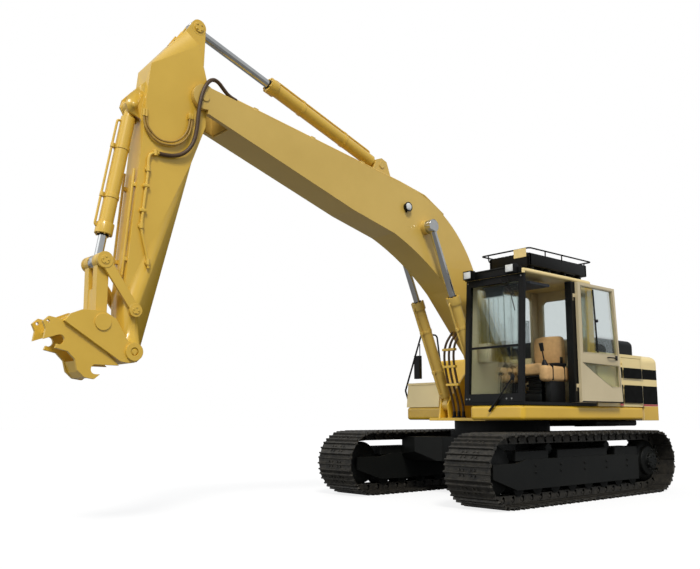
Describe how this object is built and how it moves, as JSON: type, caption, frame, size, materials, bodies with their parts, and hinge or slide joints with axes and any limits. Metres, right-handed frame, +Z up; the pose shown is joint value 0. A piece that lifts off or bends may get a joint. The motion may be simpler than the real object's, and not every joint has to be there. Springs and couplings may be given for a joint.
{
  "type": "crawler excavator",
  "caption": "Tracked hydraulic excavator with cab, counterweight, one-piece boom, stick, bucket linkage and an empty quick coupler.",
  "frame": {"origin": "on the ground, under the middle of the whole machine's length, between the tracks", "axes": "+X forward, along the boom; +Y to the operator's left; +Z up"},
  "size_m": [9.5, 3.08, 5.43],
  "materials": {
    "track_steel": "worn dark steel",
    "chassis_black": "satin black paint",
    "machine_yellow": "gloss yellow paint",
    "machine_cream": "gloss cream paint",
    "rod_chrome": "polished hard chrome",
    "cab_glass": "lightly tinted glass",
    "seat_cloth": "dark seat cloth",
    "cab_trim": "beige moulded plastic"
  },
  "bodies": {
    "undercarriage": {"carbody": "chassis_black", "track_frames": "chassis_black", "idlers": "chassis_black", "sprockets": "chassis_black", "track_rollers": "chassis_black", "carrier_rollers": "chassis_black", "swing_bearing": "chassis_black", "track_left": "track_steel", "track_right": "track_steel"},
    "upperstructure": {"main_frame": "machine_yellow", "decks": "machine_yellow", "counterweight": "machine_cream", "engine": "chassis_black", "engine_housing": "machine_cream", "tanks": "machine_yellow", "toolbox": "machine_yellow", "cab_floor": "chassis_black", "cab_left_wall": "machine_cream", "cab_right_wall": "machine_cream", "cab_rear_wall": "machine_cream", "cab_front_frame": "chassis_black", "cab_roof": "machine_cream", "cab_glass": "cab_glass", "seat": "seat_cloth", "consoles": "cab_trim", "roof_guard": "chassis_black", "work_lamps": "chassis_black", "handrail": "chassis_black", "mirror": "chassis_black"},
    "engine_hood": {"engine_hood": "chassis_black", "exhaust": "chassis_black"},
    "radiator_door": {"radiator_door": "machine_cream"},
    "pump_door": {"pump_door": "machine_cream"},
    "toolbox_lid": {"toolbox_lid": "machine_cream"},
    "cab_door": {"cab_door": "machine_cream", "cab_door_glass": "cab_glass"},
    "boom": {"boom": "machine_yellow", "boom_pipes": "machine_yellow", "boom_lamp": "machine_yellow"},
    "boom_barrel_left": {"boom_barrel_left": "machine_yellow"},
    "boom_barrel_right": {"boom_barrel_right": "machine_yellow"},
    "boom_rod_left": {"boom_rod_left": "rod_chrome"},
    "boom_rod_right": {"boom_rod_right": "rod_chrome"},
    "stick": {"stick": "machine_yellow", "stick_pipes": "machine_yellow"},
    "stick_barrel": {"stick_barrel": "machine_yellow"},
    "stick_rod": {"stick_rod": "rod_chrome"},
    "bucket_barrel": {"bucket_barrel": "machine_yellow"},
    "bucket_rod": {"bucket_rod": "rod_chrome"},
    "idler_links": {"idler_links": "machine_yellow"},
    "power_link": {"power_link": "machine_yellow"},
    "coupler": {"coupler": "machine_yellow"}
  },
  "joints": [
    {"name": "swing", "type": "hinge", "parent": "undercarriage", "child": "upperstructure", "pos_m": [-2.05, 0, 1.03], "axis": [0, 0, 1], "continuous": true},
    {"name": "boom_lift", "type": "hinge", "parent": "upperstructure", "child": "boom", "pos_m": [-1.83, 0, 1.82], "axis": [0, -1, 0], "range_deg": [-68, 27]},
    {"name": "stick_reach", "type": "hinge", "parent": "boom", "child": "stick", "pos_m": [3.19, 0, 4.49], "axis": [0, 1, 0], "range_deg": [-55, 48]},
    {"name": "coupler_curl", "type": "hinge", "parent": "stick", "child": "coupler", "pos_m": [3.884, 0, 1.698], "axis": [0, 1, 0], "range_deg": [-12, 130]},
    {"name": "boom_barrel_left_tilt", "type": "hinge", "parent": "upperstructure", "child": "boom_barrel_left", "pos_m": [-1.25, 0.33, 1.26], "axis": [0, -1, 0], "range_deg": [-72, 30]},
    {"name": "boom_rod_left_stroke", "type": "slide", "parent": "boom_barrel_left", "child": "boom_rod_left", "axis": [0.3982, 0, 0.9173], "range_m": [-0.87, 0.36]},
    {"name": "boom_barrel_right_tilt", "type": "hinge", "parent": "upperstructure", "child": "boom_barrel_right", "pos_m": [-1.25, -0.33, 1.26], "axis": [0, -1, 0], "range_deg": [-72, 30]},
    {"name": "boom_rod_right_stroke", "type": "slide", "parent": "boom_barrel_right", "child": "boom_rod_right", "axis": [0.3982, 0, 0.9173], "range_m": [-0.87, 0.36]},
    {"name": "stick_barrel_tilt", "type": "hinge", "parent": "boom", "child": "stick_barrel", "pos_m": [0.45, 0, 4.372], "axis": [0, 1, 0], "range_deg": [-6, 6]},
    {"name": "stick_rod_stroke", "type": "slide", "parent": "stick_barrel", "child": "stick_rod", "axis": [0.9451, 0, 0.3269], "range_m": [-0.74, 0.65]},
    {"name": "bucket_barrel_tilt", "type": "hinge", "parent": "stick", "child": "bucket_barrel", "pos_m": [3.935, 0, 4.235], "axis": [0, 1, 0], "range_deg": [-3, 3]},
    {"name": "bucket_rod_stroke", "type": "slide", "parent": "bucket_barrel", "child": "bucket_rod", "axis": [0.1625, 0, -0.9867], "range_m": [-0.1, 0.92]},
    {"name": "idler_links_turn", "type": "hinge", "parent": "stick", "child": "idler_links", "pos_m": [3.878, 0, 2.104], "axis": [0, 1, 0], "range_deg": [-12, 110]},
    {"name": "power_link_turn", "type": "hinge", "parent": "coupler", "child": "power_link", "pos_m": [4.207, 0, 1.963], "axis": [0, 1, 0], "range_deg": [-95, 12]},
    {"name": "cab_door_swing", "type": "hinge", "parent": "upperstructure", "child": "cab_door", "pos_m": [-1.842, 1.4, 1.27], "axis": [0, 0, 1], "range_deg": [-180, 0]},
    {"name": "engine_hood_lift", "type": "hinge", "parent": "upperstructure", "child": "engine_hood", "pos_m": [-2.83, 0, 2], "axis": [0, 1, 0], "range_deg": [0, 60]},
    {"name": "radiator_door_swing", "type": "hinge", "parent": "upperstructure", "child": "radiator_door", "pos_m": [-3.093, 1.382, 1.6], "axis": [0, 0, -1], "range_deg": [0, 95]},
    {"name": "pump_door_swing", "type": "hinge", "parent": "upperstructure", "child": "pump_door", "pos_m": [-2.873, -1.382, 1.6], "axis": [0, 0, 1], "range_deg": [0, 95]},
    {"name": "toolbox_lid_lift", "type": "hinge", "parent": "upperstructure", "child": "toolbox_lid", "pos_m": [-2.11, -1.035, 1.607], "axis": [0, -1, 0], "range_deg": [0, 75]}
  ],
  "couplings": [
    {"joint": "boom_barrel_left_tilt", "follows": "boom_lift", "ratio": 1.0083},
    {"joint": "boom_rod_left_stroke", "follows": "boom_lift", "m_per_rad": 0.7222},
    {"joint": "boom_barrel_right_tilt", "follows": "boom_lift", "ratio": 1.0083},
    {"joint": "boom_rod_right_stroke", "follows": "boom_lift", "m_per_rad": 0.7222},
    {"joint": "stick_barrel_tilt", "follows": "stick_reach", "ratio": 0.0851},
    {"joint": "stick_rod_stroke", "follows": "stick_reach", "m_per_rad": 0.743},
    {"joint": "bucket_barrel_tilt", "follows": "coupler_curl", "ratio": -0.0104},
    {"joint": "bucket_rod_stroke", "follows": "coupler_curl", "m_per_rad": 0.3942},
    {"joint": "idler_links_turn", "follows": "coupler_curl", "ratio": 0.7891},
    {"joint": "power_link_turn", "follows": "coupler_curl", "ratio": -0.6974}
  ]
}
